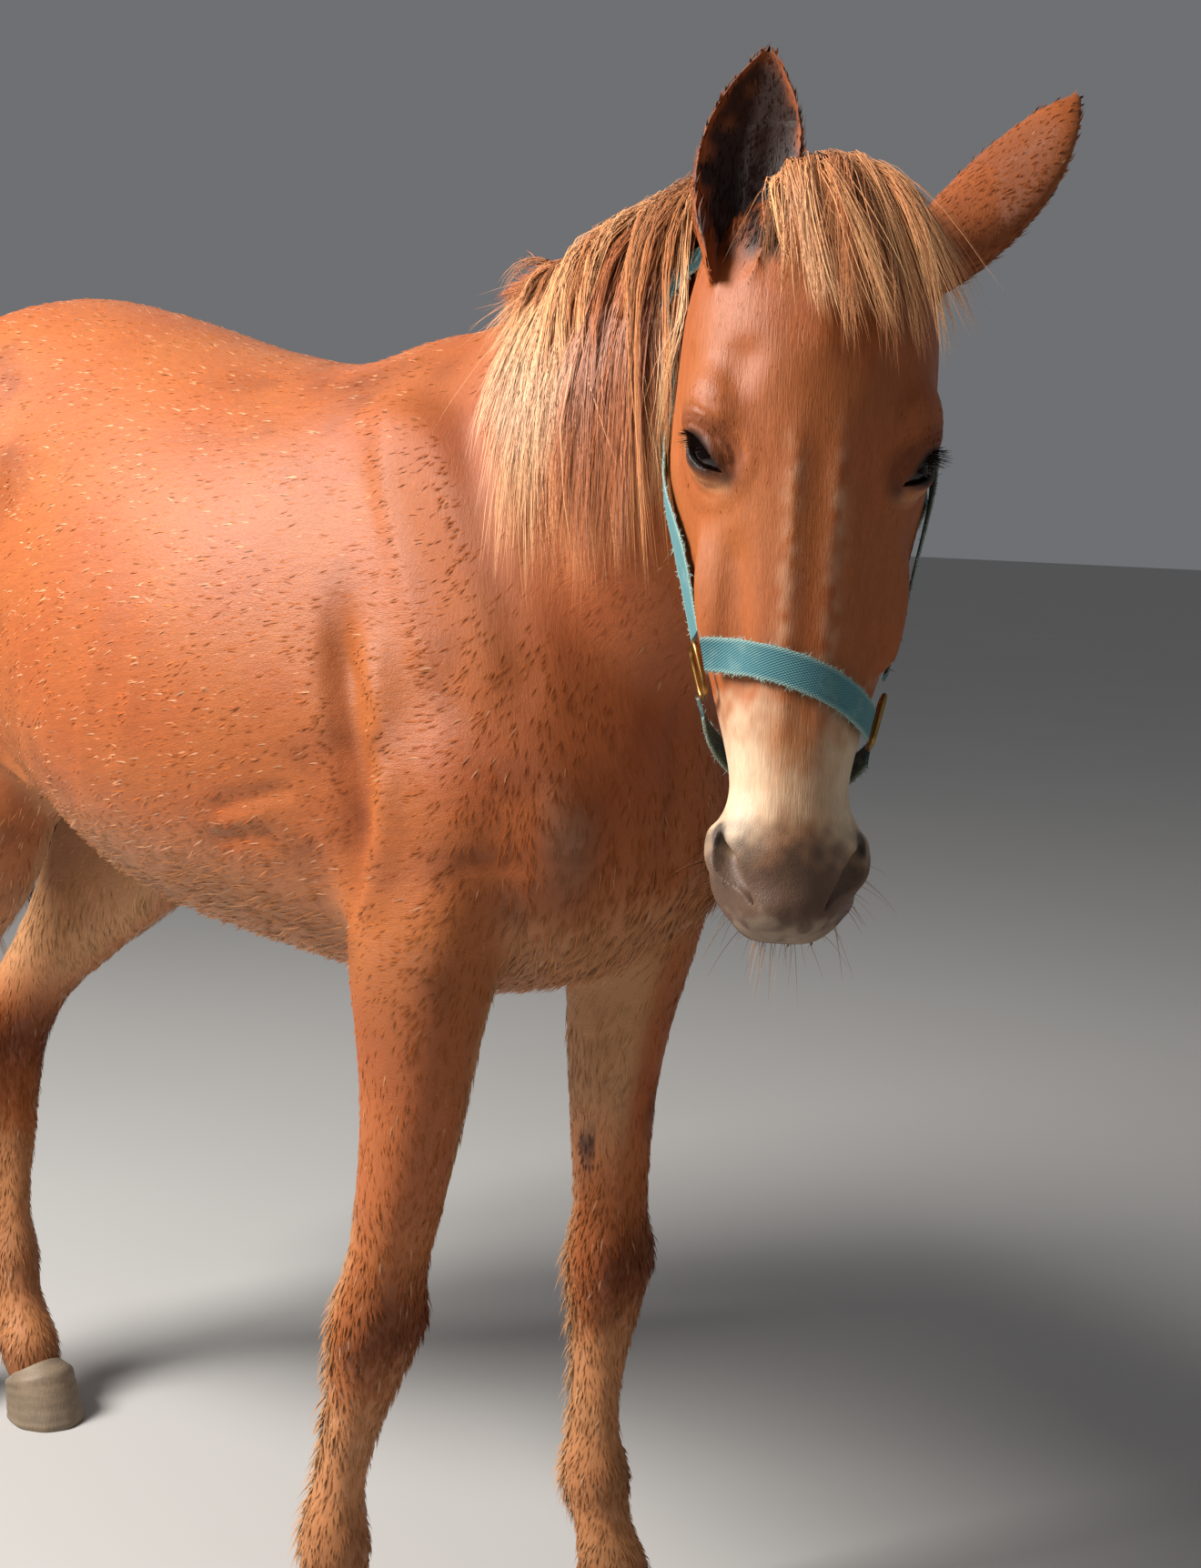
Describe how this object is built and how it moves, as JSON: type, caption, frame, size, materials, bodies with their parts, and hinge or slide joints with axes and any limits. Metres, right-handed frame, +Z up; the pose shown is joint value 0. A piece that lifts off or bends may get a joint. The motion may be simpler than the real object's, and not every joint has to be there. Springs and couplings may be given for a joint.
{
  "type": "standing mule wearing a halter",
  "caption": "Life-size chestnut mule standing on its hooves with its head turned to its right, mane on the right side of the neck, wearing a webbing halter.",
  "frame": {"origin": "middle of the bottom of the whole animal's bounding box, on the floor between its four hooves", "axes": "+X the way the body faces, from the tail towards the breast; +Y towards the animal's left; +Z up"},
  "size_m": [1.8432, 0.5678, 1.5855],
  "materials": {
    "coat": "short sleek chestnut hair, paler on muzzle, belly and inner legs",
    "hair": "long coarse flaxen hair, red at the roots",
    "hoof": "dull ringed horn",
    "eye": "wet dark brown",
    "webbing": "worn woven webbing",
    "brass": "tarnished"
  },
  "bodies": {
    "root": {"head": "coat", "ear_right": "coat", "ear_left": "coat", "neck": "coat", "torso": "coat", "foreleg_right": "coat", "foreleg_left": "coat", "hindleg_right": "coat", "hindleg_left": "coat", "tail": "hair", "forehoof_right": "hoof", "forehoof_left": "hoof", "hindhoof_right": "hoof", "hindhoof_left": "hoof", "eye_right": "eye", "eye_left": "eye", "noseband": "webbing", "chin_strap": "webbing", "headpiece": "webbing", "throat_strap": "webbing", "ring_right": "brass", "ring_left": "brass"}
  },
  "joints": []
}
